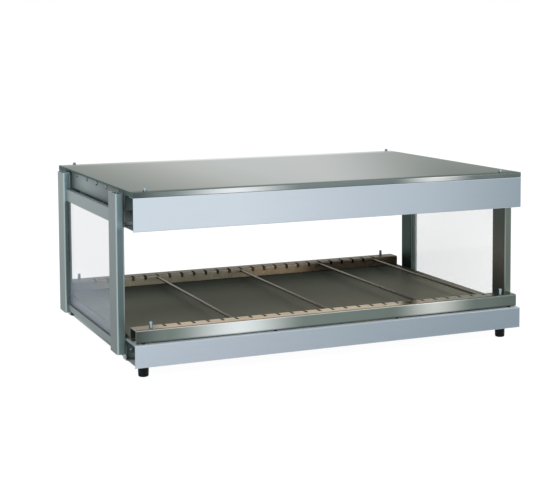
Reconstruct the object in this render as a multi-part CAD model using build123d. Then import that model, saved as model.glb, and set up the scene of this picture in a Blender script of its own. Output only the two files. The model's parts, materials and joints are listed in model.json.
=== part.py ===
from build123d import *
import os

# Heated display merchandiser for a counter, open at the front and at the back.
# X runs along its width, -Y is the customer's side, +Z is up. Millimetres.

# Overall sizes
housing_width = 1000.0
housing_depth = 690.0
foot_height = 29.0
base_height = 51.0
bay_height = 252.5
fascia_height = 76.0
cover_lip = 11.5

# Cutters reach this far past the faces that they cut
over = 1.0

# Sheet metal
sheet = 1.5
cover_sheet = 1.2
bend = 2.5
channel_depth = 100.0
channel_lip = 10.0
flange_inset = 6.0
side_lip = 5.0
corner_return = 85.0
lip_gap = 0.3
fascia_top_flange = 30.0

# Side frames
post_thickness = 21.0
post_depth = 60.0
post_setback = 70.0
post_drop = 33.5
post_rise = 2.5
post_wall = 2.0
post_corner = 5.0
rail_thickness = 12.0
rail_corner = 1.0
upper_rail_height = 30.0
upper_rail_lift = 6.5
lower_rail_height = 15.0
lower_rail_drop = 26.5
glass_thickness = 4.0
glass_inset = 6.5
gasket_wall = 1.0
glazing_slot = 8.0
glass_end_gap = 1.0
glass_arris = 0.4
gasket_proud = 3.0
bead_thickness = 2.0
bead_gap = 0.5

# Tray rails, divider rods and pins
spacer_height = 2.0
spacer_diameter = 9.0
spacer_inset = 18.0
spacer_edge = 5.0
spacers_per_rail = 4
rail_height = 30.0
rail_depth = 45.0
rail_setback = 9.0
rail_end_inset = 5.0
rail_flange = 10.0
rail_bend = 4.0
slot_pitch = 34.9
slots_per_rail = 25
slot_width = 8.0
slot_reach = 23.0
slot_drop = 10.5
slot_corner = 2.2
rod_diameter = 6.4
rod_end_gap = 1.5
rod_seat_gap = 0.3
rod_round = 0.8
rod_slots = (5, 12, 19, 24)
pin_diameter = 8.0
pin_shank = 5.0
pin_round = 1.6
rail_pin_height = 15.0
rail_pin_inset = 44.0
rail_pin_setback = 22.5
top_pin_height = 7.0
top_pin_setback = 13.0
top_pin_insets = {"front_left": 31.0, "front_right": 52.0, "rear_left": 39.0, "rear_right": 20.0}

# Shelf plate and what lies below it
shelf_rise = 8.0
shelf_gap = 2.0
shelf_end_inset = 7.0
heater_thickness = 2.0
heater_margin = 48.0
blanket_corner = 12.0
slab_margin = 10.0
slab_gap = 3.0
pan_end_inset = 8.0
pan_flange = 12.0

# Canopy
pan_plate = 1.2
pan_wall = 36.0
end_panel_inset = 11.0
end_panel_flange = 19.0
bearer_width = 40.0
bearer_brim = 12.0
bearer_spacing = 330.0
element_row = 110.0
element_diameter = 8.5
element_height = 17.0
element_end = 452.0
element_round = 1.0
stud_diameter = 4.2
stud_gap = 5.0
reflector_width = 80.0
reflector_rise = 32.0
reflector_crown = 40.0
reflector_shoulder = 25.6
reflector_sheet = 0.8
reflector_flange = 14.0
heat_slot_length = 860.0
heat_slot_width = 76.0
insulator_length = 14.0
insulator_width = 22.0
insulator_round = 8.8
guard_wire = 3.0
guard_bar = 2.7
guard_bars = 17
guard_overlap = 4.0

# Controls on the rear base fascia, seen from behind
knob_diameter = 29.0
knob_proud = 16.0
knob_from_end = 120.0
knob_gap = 0.6
shaft_diameter = 6.0
shaft_clearance = 0.05
shaft_hole = 8.0
spindle_depth = 14.0
spindle_gap = 0.5
spindle_flat = 1.8
knob_skirt = 4.0
knob_crown = 21.4
knob_cap = 5.0
knob_pointer = 3.2
knob_edge = 1.0
grips = 12
grip_radius = 1.6
pointer_proud = 1.2
thermostat_width = 40.0
thermostat_depth = 28.0
thermostat_height = 34.0
thermostat_corner = 3.0
switch_from_end = 190.0
bezel_width = 21.0
bezel_height = 30.0
bezel_proud = 2.0
bezel_lap = 1.5
bezel_corner = 2.0
bezel_edge = 0.6
switch_depth = 20.0
rocker_width = 13.0
rocker_height = 22.0
rocker_clearance = 0.7
rocker_pin = 2.4
rocker_pin_inset = 3.0
rocker_stub = 1.5
stub_end_gap = 0.1
rocker_dip = 2.2
rocker_round = 1.0
rocker_tail = 6.5
rocker_pocket = 13.0
rocker_tilt = 9.0
rocker_proud = 3.5
gland_diameter = 15.0
gland_bore = 9.0
gland_flange = 22.0
gland_proud = 5.0
gland_round = 1.5
gland_tail = 8.0
nut_thickness = 4.5
gland_from_end = 60.0
cutout_clearance = 0.2

# Wiring that runs up the rear right post
loom_diameter = 7.0
loom_bend = 12.0
loom_hole = 13.0
loom_drop = 8.0
loom_top_drop = 18.5
loom_inset = 14.0
terminal_width = 70.0
terminal_depth = 45.0
terminal_gap = 0.5
terminal_from_gland = 30.0
terminal_wells = 4
well_diameter = 8.0
well_depth = 12.0
well_setback = 12.0
junction_headroom = 2.0

# Feet and fasteners
foot_diameter = 25.0
front_foot_inset = 31.0
rear_foot_inset = 61.0
foot_setback = 42.0
foot_recess = 12.0
foot_web = 20.0
foot_taper = 0.8
foot_round = 3.0
screw_shank = 5.0
screw_head = 9.5
screw_head_height = 3.2
screw_clearance = 0.1
screw_tail = 4.0
bracket_width = 22.0
bracket_leg = 30.0
bracket_height = 35.0
bracket_sheet = 2.0
canopy_screw_rise = 21.0
base_screw_rise = 29.4
end_screw_offsets = (-192.0, -89.0, 89.0, 192.0)
end_screw_head = 9.5
end_head_height = 2.4
centre_screw_head = 12.5
centre_head_height = 3.4
end_screw_drop = 12.0
pan_screw_inset = 22.0
pan_screw_rise = 18.4

# Levels and faces that follow from the sizes
half_width = housing_width / 2
half_depth = housing_depth / 2
base_bottom = foot_height
base_top = base_bottom + base_height
rail_bottom = base_top + spacer_height
rail_top = rail_bottom + rail_height
shelf_top = base_top + shelf_rise
canopy_bottom = base_top + bay_height
fascia_top = canopy_bottom + fascia_height
cover_top = fascia_top + cover_lip
cover_under = cover_top - cover_sheet
post_front = half_depth - post_setback
post_inner = post_front - post_depth
post_bottom = base_top - post_drop
post_top = fascia_top + post_rise
post_height = post_top - post_bottom
channel_inner = half_depth - channel_depth
rail_front = half_depth - rail_setback
rail_back = rail_front - rail_depth
rail_length = housing_width - 2 * rail_end_inset
upper_rail_bottom = canopy_bottom + upper_rail_lift
lower_rail_bottom = base_top - lower_rail_drop
lower_rail_top = lower_rail_bottom + lower_rail_height
frame_slot_width = glass_thickness + 2 * gasket_wall
glass_centre = half_width + glass_inset + glass_thickness / 2
pan_floor = canopy_bottom + pan_plate
pan_top = canopy_bottom + pan_wall
pan_end = half_width - end_panel_inset - end_panel_flange
base_middle = (base_bottom + base_top) / 2
screw_hole_radius = screw_shank / 2 + screw_clearance
pin_hole_radius = pin_shank / 2 + screw_clearance
post_middle = (post_front + post_inner) / 2
# The knob stands out at the back, so the row's origin is half of that behind the housing's centre
row_shift = -knob_proud / 2


def mirror_y(part):
    return mirror(part, about=Plane.XZ)


def mirror_x(part):
    return mirror(part, about=Plane.YZ)


def four_corners(part):
    """The part in one corner of the cabinet, and its images in the other three."""
    ends = [part, mirror_x(part)]
    return ends + [mirror_y(end) for end in ends]


def folded(points, thickness, radius=bend):
    """Section of a folded sheet: its outer face follows the points, with the metal to their left."""
    path = FilletPolyline(*points, radius=radius)
    return make_face(offset(path, amount=thickness, side=Side.LEFT))


def along_x(section, length):
    """Extrude a section drawn as (y, z) to both sides of the middle plane."""
    return extrude(Plane.YZ * section, amount=length / 2, both=True)


def along_y(section, length):
    """Extrude a section drawn as (x, z) to both sides of the middle plane."""
    return extrude(Plane.XZ * section, amount=length / 2, both=True)


def block(x, y, z):
    """A box between the low and high values of each axis."""
    size = [abs(high - low) for low, high in (x, y, z)]
    middle = [(low + high) / 2 for low, high in (x, y, z)]
    return Pos(*middle) * Box(*size)


def rod_along(axis, radius, start, end, across):
    """A round bar between two values along an axis, at the given place across it."""
    middle = (start + end) / 2
    bar = Cylinder(radius, abs(end - start))
    if axis == "X":
        return Pos(middle, *across) * Rot(0, 90, 0) * bar
    if axis == "Y":
        return Pos(across[0], middle, across[1]) * Rot(90, 0, 0) * bar
    return Pos(*across, middle) * bar


def screw(head, head_height, shank, length):
    """A screw standing on its head's seat: dished head above Z=0, shank below."""
    cap = Pos(0, 0, head_height / 2) * Cylinder(head / 2, head_height)
    cap = fillet(cap.edges().group_by(Axis.Z)[-1], head_height * 0.45)
    recess = Pos(0, 0, head_height) * Box(head * 0.5, head * 0.14, head_height * 0.7)
    recess += Rot(0, 0, 90) * recess
    return cap - recess + Pos(0, 0, -length / 2) * Cylinder(shank / 2, length)


def save(node, part):
    export_step(Pos(0, row_shift, 0) * part, f"parts/{node}.step")


def save_group(node, solids):
    save(node, Compound(children=list(solids)))


# Canopy
def canopy_fascia():
    """Open-ended channel: tall web, deep bottom flange with an upturned lip, short top flange."""
    points = [
        (-half_depth + fascia_top_flange, fascia_top),
        (-half_depth, fascia_top),
        (-half_depth, canopy_bottom),
        (-channel_inner, canopy_bottom),
        (-channel_inner, canopy_bottom + channel_lip),
    ]
    channel = along_x(folded(points, sheet), housing_width)
    for side in (-1, 1):
        channel -= block(
            (side * half_width, side * (half_width - flange_inset)),
            (-half_depth + bend + sheet, 0),
            (canopy_bottom - sheet, canopy_bottom + channel_lip + sheet),
        )
    return channel


def top_pin_places():
    for corner, inset in top_pin_insets.items():
        x = half_width - inset
        y = half_depth - top_pin_setback
        yield (-x if "left" in corner else x, -y if "front" in corner else y)


def top_cover():
    """Brushed lid: front and rear lips, narrow side lips, and taller returns at its corners."""
    points = [
        (half_depth, fascia_top + lip_gap),
        (half_depth, cover_top),
        (-half_depth, cover_top),
        (-half_depth, fascia_top + lip_gap),
    ]
    cover = along_x(folded(points, cover_sheet), housing_width)
    inside = half_depth - cover_sheet
    for side in (-1, 1):
        ends = (side * half_width, side * (half_width - cover_sheet))
        cover += block(ends, (-inside, inside), (cover_top - side_lip, cover_under))
        for y in (-inside, inside - corner_return):
            cover += block(ends, (y, y + corner_return), (fascia_top + lip_gap, cover_under))
    for x, y in top_pin_places():
        cover -= rod_along("Z", pin_hole_radius, cover_under - over, cover_top + over, (x, y))
    return cover


def pin(base, height, shank_end):
    """Polished pin with a rounded tip, standing on base, with a thinner shank down through the sheet."""
    body = Pos(0, 0, base + height / 2) * Cylinder(pin_diameter / 2, height)
    body = fillet(body.edges().group_by(Axis.Z)[-1], pin_round)
    return body + rod_along("Z", pin_shank / 2, shank_end, base, (0, 0))


def top_pins():
    model = pin(cover_top, top_pin_height, fascia_top)
    return [Pos(x, y, 0) * model for x, y in top_pin_places()]


def end_panel():
    """Panel that closes an end of the canopy above the frame's upper rail, flanged inwards."""
    face_x = half_width - end_panel_inset
    points = [
        (face_x - end_panel_flange, cover_under),
        (face_x, cover_under),
        (face_x, pan_top),
        (face_x - end_panel_flange, pan_top),
    ]
    section = folded(points[::-1], cover_sheet)
    panel = along_y(section, 2 * channel_inner)
    for y, _, _ in end_screw_places():
        panel -= rod_along("X", screw_hole_radius, face_x - cover_sheet - over, face_x + over,
                           (y, cover_under - end_screw_drop))
    return panel


def end_screw_places():
    """The small screws along an end panel's top, and the larger one in the middle."""
    yield 0.0, centre_screw_head, centre_head_height
    for y in end_screw_offsets:
        yield y, end_screw_head, end_head_height


def end_screws():
    face_x = half_width - end_panel_inset
    right = []
    for y, head, head_height in end_screw_places():
        model = screw(head, head_height, screw_shank, cover_sheet + screw_tail)
        right.append(Pos(face_x, y, cover_under - end_screw_drop) * Rot(0, 90, 0) * model)
    return right + [mirror_x(one) for one in right]


def canopy_bearer():
    """Top-hat bearer from the front to the rear fascia, under the cover."""
    half = bearer_width / 2
    brim_top = fascia_top + cover_sheet
    points = [
        (-half - bearer_brim, brim_top),
        (-half, brim_top),
        (-half, cover_under),
        (half, cover_under),
        (half, brim_top),
        (half + bearer_brim, brim_top),
    ]
    web = FilletPolyline(*points, radius=bend)
    section = make_face(offset(web, amount=cover_sheet, side=Side.RIGHT))
    return along_y(section, housing_depth - 2 * (bend + sheet))


def heater_pan():
    """Underside of the canopy: a tray with two long slots that the heat comes through."""
    inner = channel_inner
    points = [
        (-inner, pan_top),
        (-inner, canopy_bottom),
        (inner, canopy_bottom),
        (inner, pan_top),
    ]
    pan = along_x(folded(points, pan_plate), 2 * pan_end)
    for side in (-1, 1):
        pan += block(
            (side * pan_end, side * (pan_end - pan_plate)),
            (-inner + pan_plate, inner - pan_plate),
            (pan_floor, pan_top),
        )
        slot = Pos(0, side * element_row) * SlotOverall(heat_slot_length, heat_slot_width)
        pan -= extrude(Plane.XY.offset(canopy_bottom - over) * slot, amount=pan_plate + 2 * over)
    return pan


def reflector(row):
    """Prefocusing trough: straight flanges, flared sides and a rounded crown over the element."""
    half = reflector_width / 2
    crown = reflector_crown / 2
    shoulder = pan_floor + reflector_shoulder
    path = Polyline(
        (row - half - reflector_flange, pan_floor),
        (row - half, pan_floor),
        (row - crown, shoulder),
    ) + ThreePointArc(
        (row - crown, shoulder),
        (row, pan_floor + reflector_rise),
        (row + crown, shoulder),
    ) + Polyline(
        (row + crown, shoulder),
        (row + half, pan_floor),
        (row + half + reflector_flange, pan_floor),
    )
    section = make_face(offset(path, amount=reflector_sheet, side=Side.LEFT))
    return along_x(section, heat_slot_length)


def insulator_x():
    return heat_slot_length / 2 + insulator_length / 2


def heating_element(row):
    """Metal-sheathed element: a straight rod with a thin terminal stud at each end."""
    height = pan_floor + element_height
    rod = rod_along("X", element_diameter / 2, -element_end, element_end, (row, height))
    rod = fillet(rod.edges().filter_by(GeomType.CIRCLE), element_round)
    stud_end = pan_end - pan_plate - stud_gap
    return rod + rod_along("X", stud_diameter / 2, -stud_end, stud_end, (row, height))


def insulators():
    """Ceramic blocks on the pan that hold the ends of both elements."""
    height = pan_floor + element_height
    half_length = insulator_length / 2
    half = insulator_width / 2
    blocks = []
    for row in (-element_row, element_row):
        body = block((-half_length, half_length), (row - half, row + half), (pan_floor, height + half))
        body = fillet(body.edges().filter_by(Axis.X).group_by(Axis.Z)[-1], insulator_round)
        body -= rod_along("X", element_diameter / 2 + shaft_clearance, -insulator_length,
                          insulator_length, (row, height))
        blocks += [Pos(side * insulator_x(), 0, 0) * body for side in (-1, 1)]
    return blocks


def wire_guard(row):
    """Guard of round wires under a heat slot: two long rails and even cross bars."""
    level = canopy_bottom - guard_wire / 2
    reach = heat_slot_width / 2 + guard_overlap
    length = heat_slot_length - heat_slot_width
    guard = rod_along("X", guard_wire / 2, -length / 2, length / 2, (row - reach, level))
    guard += rod_along("X", guard_wire / 2, -length / 2, length / 2, (row + reach, level))
    for number in range(guard_bars):
        x = (number / (guard_bars - 1) - 0.5) * (length - 2 * guard_wire)
        guard += rod_along("Y", guard_bar / 2, row - reach, row + reach, (x, level))
    return guard


# Side frames, modelled for the right end and mirrored
def frame_post():
    """Hollow post of the front right corner, with a slot for the glass in its inner face."""
    middle_x = half_width + post_thickness / 2
    outer = Pos(middle_x, -post_middle) * RectangleRounded(post_thickness, post_depth, post_corner)
    slot_floor = post_wall + glazing_slot
    cavity_depth = post_depth - post_wall - slot_floor - post_wall
    cavity_y = -post_front + post_wall + cavity_depth / 2
    cavity = Pos(middle_x, cavity_y) * RectangleRounded(
        post_thickness - 2 * post_wall, cavity_depth, post_corner - post_wall)
    slot = Pos(glass_centre, -post_inner - glazing_slot / 2) * Rectangle(frame_slot_width, glazing_slot)
    post = extrude(Plane.XY.offset(post_bottom) * (outer - cavity - slot), amount=post_height)
    for z in (canopy_screw_level(), base_screw_level()):
        post -= rod_along("X", screw_hole_radius, half_width - over,
                          half_width + post_wall + over, (-bracket_y(), z))
    return post


def rear_right_post():
    """The rear right post also has the two holes that the wiring passes through."""
    post = mirror_y(frame_post())
    for z in (loom_low(), loom_high()):
        post -= rod_along("X", loom_hole / 2, half_width - over,
                          half_width + post_wall + over, (loom_y(), z))
    return post


def upper_rail():
    section = Pos(half_width + rail_thickness / 2, upper_rail_bottom + upper_rail_height / 2) * \
        RectangleRounded(rail_thickness, upper_rail_height, rail_corner)
    cavity_height = upper_rail_height - glazing_slot - 3 * post_wall
    cavity_z = upper_rail_bottom + upper_rail_height - post_wall - cavity_height / 2
    section -= Pos(half_width + rail_thickness / 2, cavity_z) * Rectangle(
        rail_thickness - 2 * post_wall, cavity_height)
    section -= Pos(glass_centre, upper_rail_bottom + glazing_slot / 2) * Rectangle(
        frame_slot_width, glazing_slot)
    return along_y(section, 2 * post_inner)


def lower_rail():
    section = Pos(half_width + rail_thickness / 2, lower_rail_bottom + lower_rail_height / 2) * \
        RectangleRounded(rail_thickness, lower_rail_height, rail_corner)
    section -= Pos(glass_centre, lower_rail_top - glazing_slot / 2) * Rectangle(
        frame_slot_width, glazing_slot)
    return along_y(section, 2 * post_inner)


def glass_panel():
    """Clear end panel, let into the slots of both posts and both rails."""
    bottom = lower_rail_top - glazing_slot + glass_end_gap
    top = upper_rail_bottom + glazing_slot - glass_end_gap
    reach = post_inner + glazing_slot - glass_end_gap
    half = glass_thickness / 2
    panel = block((glass_centre - half, glass_centre + half), (-reach, reach), (bottom, top))
    return chamfer(panel.edges(), glass_arris)


def glazing_gasket():
    """Black gasket round the glass: a channel along its bottom and both sides, and an outer bead."""
    half = frame_slot_width / 2
    x = (glass_centre - half, glass_centre + half)
    low = lower_rail_top - glazing_slot
    lip = lower_rail_top + gasket_proud
    high = upper_rail_bottom - bead_gap
    reach = post_inner + glazing_slot
    gasket = block(x, (-post_inner, post_inner), (low, lip))
    bead_x = (x[1], half_width + post_thickness - post_corner)
    for side in (-1, 1):
        inner = side * (post_inner - gasket_proud)
        gasket += block(x, (side * reach, inner), (lower_rail_top + bead_gap, high))
        gasket += block(bead_x, (side * post_inner, side * (post_inner - bead_thickness)),
                        (lower_rail_top + bead_gap, high))
    room = block(
        (glass_centre - glass_thickness / 2, glass_centre + glass_thickness / 2),
        (-reach + glass_end_gap, reach - glass_end_gap),
        (low + glass_end_gap, high + over),
    )
    return gasket - room


def bracket_y():
    return (post_front + channel_inner) / 2


def canopy_screw_level():
    return canopy_bottom + sheet + canopy_screw_rise


def base_screw_level():
    return base_bottom + sheet + base_screw_rise


def bracket(floor, screw_level):
    """Angle in a channel's end that the post is screwed to."""
    points = [
        (half_width - bracket_leg, floor),
        (half_width, floor),
        (half_width, floor + bracket_height),
    ]
    section = folded(points, bracket_sheet)
    angle = Pos(0, -bracket_y(), 0) * along_y(section, bracket_width)
    return angle - rod_along("X", screw_hole_radius, half_width - bracket_sheet - over,
                             half_width + over, (-bracket_y(), screw_level))


def frame_brackets():
    upper = bracket(canopy_bottom + sheet, canopy_screw_level())
    lower = bracket(base_bottom + sheet, base_screw_level())
    return four_corners(upper) + four_corners(lower)


def frame_screws():
    """Screws through the brackets into the posts."""
    length = bracket_sheet + post_wall + screw_tail
    model = Rot(0, -90, 0) * screw(screw_head, screw_head_height, screw_shank, length)
    seats = []
    for z in (canopy_screw_level(), base_screw_level()):
        seats += four_corners(Pos(half_width - bracket_sheet, -bracket_y(), z) * model)
    return seats


# Base
def base_fascia(foot_inset):
    """Open-ended channel with two deep flanges whose lips turn towards each other."""
    points = [
        (-channel_inner, base_top - channel_lip),
        (-channel_inner, base_top),
        (-half_depth, base_top),
        (-half_depth, base_bottom),
        (-channel_inner, base_bottom),
        (-channel_inner, base_bottom + channel_lip),
    ]
    channel = along_x(folded(points, sheet), housing_width)
    for side in (-1, 1):
        channel -= block(
            (side * half_width, side * (half_width - flange_inset)),
            (-half_depth + bend + sheet, 0),
            (base_bottom - sheet, base_bottom + channel_lip + sheet),
        )
        channel -= rod_along("Z", screw_hole_radius, base_bottom - over,
                             base_bottom + sheet + over,
                             (side * (half_width - foot_inset), -foot_y()))
        # The lower lip stops short of the pan screw's head
        channel -= block(
            (side * (half_width - flange_inset), side * (pan_screw_x() - screw_head)),
            (-channel_inner - sheet - over, 0),
            (base_bottom + sheet + over, base_bottom + channel_lip + sheet),
        )
    return channel


def pan_screw_x():
    return half_width - pan_screw_inset


def rear_base_fascia():
    """The rear channel is cut out for the thermostat shaft, the switch and the cord gland."""
    channel = mirror_y(base_fascia(rear_foot_inset))
    inside = half_depth - sheet - over
    outside = half_depth + over
    channel -= rod_along("Y", shaft_hole / 2, inside, outside, (knob_x(), base_middle))
    channel -= rod_along("Y", gland_diameter / 2 + cutout_clearance, inside, outside,
                         (gland_x(), base_middle))
    width = switch_body_width() / 2 + cutout_clearance
    height = switch_body_height() / 2 + cutout_clearance
    channel -= block((switch_x() - width, switch_x() + width), (inside, outside),
                     (base_middle - height, base_middle + height))
    return channel


def base_pan():
    """Tray between the two channels that holds the insulation and carries the shelf plate."""
    inner = channel_inner
    points = [
        (inner - pan_flange, base_top),
        (inner, base_top),
        (inner, base_bottom),
        (-inner, base_bottom),
        (-inner, base_top),
        (-inner + pan_flange, base_top),
    ]
    half = half_width - pan_end_inset
    section = make_face(offset(FilletPolyline(*points, radius=bend), amount=sheet, side=Side.RIGHT))
    pan = along_x(section, 2 * half)
    for side in (-1, 1):
        pan += block((side * half, side * (half - sheet)), (-inner + sheet, inner - sheet),
                     (base_bottom + sheet, base_top))
        for face in (-1, 1):
            pan -= rod_along("Y", screw_hole_radius, face * (inner + over),
                             face * (inner - sheet - over), (side * pan_screw_x(), pan_screw_level()))
    return pan


def pan_screw_level():
    return base_bottom + pan_screw_rise


def pan_screws():
    """Screws through the pan's front and rear walls, their heads in the open channels."""
    model = Rot(90, 0, 0) * screw(screw_head, screw_head_height, screw_shank, sheet + screw_tail)
    return four_corners(Pos(pan_screw_x(), -channel_inner, pan_screw_level()) * model)


def insulation():
    """Mineral wool slab that fills the pan up to the shelf heater."""
    x = half_width - heater_margin
    y = channel_inner - pan_flange - slab_gap
    return block((-x, x), (-y, y), (base_bottom + sheet, heater_bottom()))


def heater_bottom():
    return shelf_top - sheet - heater_thickness


def shelf_heater():
    """Blanket element against the underside of the shelf plate."""
    x = half_width - heater_margin - slab_margin
    y = channel_inner - pan_flange - slab_margin
    blanket = block((-x, x), (-y, y), (heater_bottom(), shelf_top - sheet))
    return fillet(blanket.edges().filter_by(Axis.Z), blanket_corner)


def shelf_plate():
    """Hot plate of the tray: a shallow lid standing on the base between the rails."""
    y = rail_back - shelf_gap
    x = half_width - shelf_end_inset
    points = [(y, base_top), (y, shelf_top), (-y, shelf_top), (-y, base_top)]
    plate = along_x(folded(points, sheet), 2 * x)
    for side in (-1, 1):
        plate += block((side * x, side * (x - sheet)), (-y + sheet, y - sheet),
                       (base_top, shelf_top - sheet))
    return plate


def foot_y():
    return half_depth - foot_setback


def at_the_feet(part):
    """Copies of a part at the four feet; the rear pair stands nearer together."""
    places = []
    for side in (-1, 1):
        places.append((side * (half_width - front_foot_inset), -foot_y()))
        places.append((side * (half_width - rear_foot_inset), foot_y()))
    return [Pos(x, y, 0) * part for x, y in places]


def foot():
    """Rubber foot: slightly tapered, rounded at the floor, recessed for its screw."""
    radius = foot_diameter / 2
    body = Pos(0, 0, foot_height / 2) * Cone(radius - foot_taper, radius, foot_height)
    body = fillet(body.edges().group_by(Axis.Z)[0], foot_round)
    body -= Pos(0, 0, (foot_height - foot_web) / 2) * Cylinder(foot_recess / 2, foot_height - foot_web)
    body -= Pos(0, 0, foot_height / 2) * Cylinder(screw_hole_radius, foot_height)
    return body


def foot_screw():
    length = foot_web + sheet + screw_tail
    model = Rot(180, 0, 0) * screw(screw_head, screw_head_height, screw_shank, length)
    return Pos(0, 0, foot_height - foot_web) * model


# Tray
def slot_place(index):
    """X of a slot, counted from the left end."""
    return (index - (slots_per_rail - 1) / 2) * slot_pitch


def tray_rail():
    """Slotted rail of the front edge: a rolled channel, open below and at both ends."""
    points = [
        (-rail_back - rail_flange, rail_bottom),
        (-rail_back, rail_bottom),
        (-rail_back, rail_top),
        (-rail_front, rail_top),
        (-rail_front, rail_bottom),
        (-rail_front + rail_flange, rail_bottom),
    ]
    rail = along_x(folded(points, sheet, rail_bend), rail_length)
    for index in range(slots_per_rail):
        x = slot_place(index)
        slot = block((x - slot_width / 2, x + slot_width / 2),
                     (-rail_back - slot_reach, -rail_back + over),
                     (rail_top - slot_drop, rail_top + over))
        rail -= fillet(slot.edges().filter_by(Axis.Z).group_by(Axis.Y)[0], slot_corner)
    for side in (-1, 1):
        rail -= rod_along("Z", pin_hole_radius, rail_top - sheet - over, rail_top + over,
                          (side * rail_pin_x(), -rail_pin_y()))
    return rail


def rail_pin_x():
    return half_width - rail_pin_inset


def rail_pin_y():
    return half_depth - rail_pin_setback


def rail_pin():
    """Pin on a tray rail, whose shank reaches down to the base channel."""
    return Pos(rail_pin_x(), -rail_pin_y(), 0) * pin(rail_top, rail_pin_height, base_top)


def rail_spacers():
    """Black pads that lift the rails off the base channels."""
    pads = []
    first = rail_length / 2 - spacer_inset
    for number in range(spacers_per_rail):
        x = -first + number * 2 * first / (spacers_per_rail - 1)
        for y in (rail_front - spacer_edge, rail_back + spacer_edge):
            pad = rod_along("Z", spacer_diameter / 2, base_top, rail_bottom, (x, -y))
            pads += [pad, mirror_y(pad)]
    return pads


def divider_rod(index):
    """Round rod from the front to the rear, lying in one pair of slots."""
    radius = rod_diameter / 2
    reach = rail_back + slot_reach - rod_end_gap
    level = rail_top - slot_drop + rod_seat_gap + radius
    bar = rod_along("Y", radius, -reach, reach, (slot_place(index), level))
    return fillet(bar.edges().filter_by(GeomType.CIRCLE), rod_round)


# Controls and wiring
def knob_x():
    return -half_width + knob_from_end


def switch_x():
    return -half_width + switch_from_end


def gland_x():
    return half_width - gland_from_end


def thermostat():
    """Thermostat body seated against the rear fascia's inside, bored for its spindle."""
    face = half_depth - sheet
    half = thermostat_width / 2
    half_height = thermostat_height / 2
    body = block((knob_x() - half, knob_x() + half), (face - thermostat_depth, face),
                 (base_middle - half_height, base_middle + half_height))
    body = fillet(body.edges().filter_by(Axis.Y), thermostat_corner)
    body -= rod_along("Y", shaft_diameter / 2 + shaft_clearance, face - spindle_depth, face + over,
                      (knob_x(), base_middle))
    return body


def spindle_section():
    """D section of the spindle, drawn as (x, z) with its flat upwards."""
    flat = Pos(0, spindle_flat + shaft_diameter / 2) * Rectangle(shaft_diameter, shaft_diameter)
    return Circle(shaft_diameter / 2) - flat


def spindle_end():
    return half_depth + knob_proud - knob_cap


def thermostat_shaft():
    """Spindle, round in the thermostat and D-shaped where the knob is pushed on to it."""
    round_start = half_depth - sheet - spindle_depth + spindle_gap
    flat_start = half_depth + knob_gap
    spindle = rod_along("Y", shaft_diameter / 2, round_start, flat_start, (0, 0))
    flat_length = spindle_end() - flat_start
    spindle += extrude(Plane.XZ.offset(-flat_start) * spindle_section(), amount=-flat_length)
    return Pos(knob_x(), 0, base_middle) * spindle


def thermostat_knob():
    """Control knob: round skirt, gripped crown with a raised pointer, bored for the spindle."""
    back = half_depth + knob_gap
    seat = back + knob_skirt
    front = half_depth + knob_proud
    crown_radius = knob_crown / 2
    skirt = rod_along("Y", knob_diameter / 2, back, seat, (0, 0))
    skirt = chamfer(skirt.edges().group_by(Axis.Y)[-1], knob_edge)
    crown = rod_along("Y", crown_radius, seat, front - pointer_proud, (0, 0))
    for number in range(grips):
        grip = rod_along("Y", grip_radius, seat, front, (0, crown_radius + grip_radius / 2))
        crown -= Rot(0, (number + 0.5) * 360 / grips, 0) * grip
    pointer = block((-knob_pointer / 2, knob_pointer / 2), (seat, front), (0, crown_radius))
    pointer = chamfer(pointer.edges().group_by(Axis.Y)[-1].filter_by(Axis.Z), knob_edge)
    bore = extrude(Plane.XZ.offset(-back) * spindle_section(), amount=-(spindle_end() - back))
    return Pos(knob_x(), 0, base_middle) * (skirt + crown + pointer - bore)


def switch_body_width():
    return bezel_width - 2 * bezel_lap


def switch_body_height():
    return bezel_height - 2 * bezel_lap


def rocker_axis_y():
    return half_depth - rocker_pin_inset


def switch_housing():
    """Switch body through its cut-out, with a bezel outside and a pocket for the rocker."""
    def centred(width, y, height):
        return block((-width / 2, width / 2), y, (-height / 2, height / 2))

    outside = half_depth + bezel_proud
    bezel = centred(bezel_width, (half_depth, outside), bezel_height)
    bezel = fillet(bezel.edges().filter_by(Axis.Y), bezel_corner)
    bezel = chamfer(bezel.faces().sort_by(Axis.Y)[-1].edges(), bezel_edge)
    body = centred(switch_body_width(), (half_depth - switch_depth, half_depth), switch_body_height())
    pocket_width = rocker_width + 2 * rocker_clearance
    pocket = centred(pocket_width, (half_depth - rocker_pocket, outside + over),
                     rocker_height + 2 * rocker_clearance)
    pivot_end = rocker_width / 2 + rocker_stub + stub_end_gap
    pivot = rod_along("X", rocker_pin / 2 + shaft_clearance, -pivot_end, pivot_end, (rocker_axis_y(), 0))
    return Pos(switch_x(), 0, base_middle) * (bezel + body - pocket - pivot)


def power_rocker():
    """Rocker paddle with a shallow V front, on two pivot stubs, tipped to OFF."""
    half = rocker_height / 2 - rocker_clearance
    reach = half_depth + bezel_proud + rocker_proud - rocker_axis_y()
    points = [
        (0, -half),
        (reach, -half),
        (reach - rocker_dip, 0),
        (reach, half),
        (0, half),
        (-rocker_tail, 0),
    ]
    profile = make_face(Polyline(*points, close=True))
    profile = fillet(profile.vertices().group_by(Axis.X)[-1], rocker_round)
    paddle = along_x(profile, rocker_width)
    stub = rocker_width / 2 + rocker_stub
    paddle += rod_along("X", rocker_pin / 2, -stub, stub, (0, 0))
    return Pos(switch_x(), rocker_axis_y(), base_middle) * Rot(-rocker_tilt, 0, 0) * paddle


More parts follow.
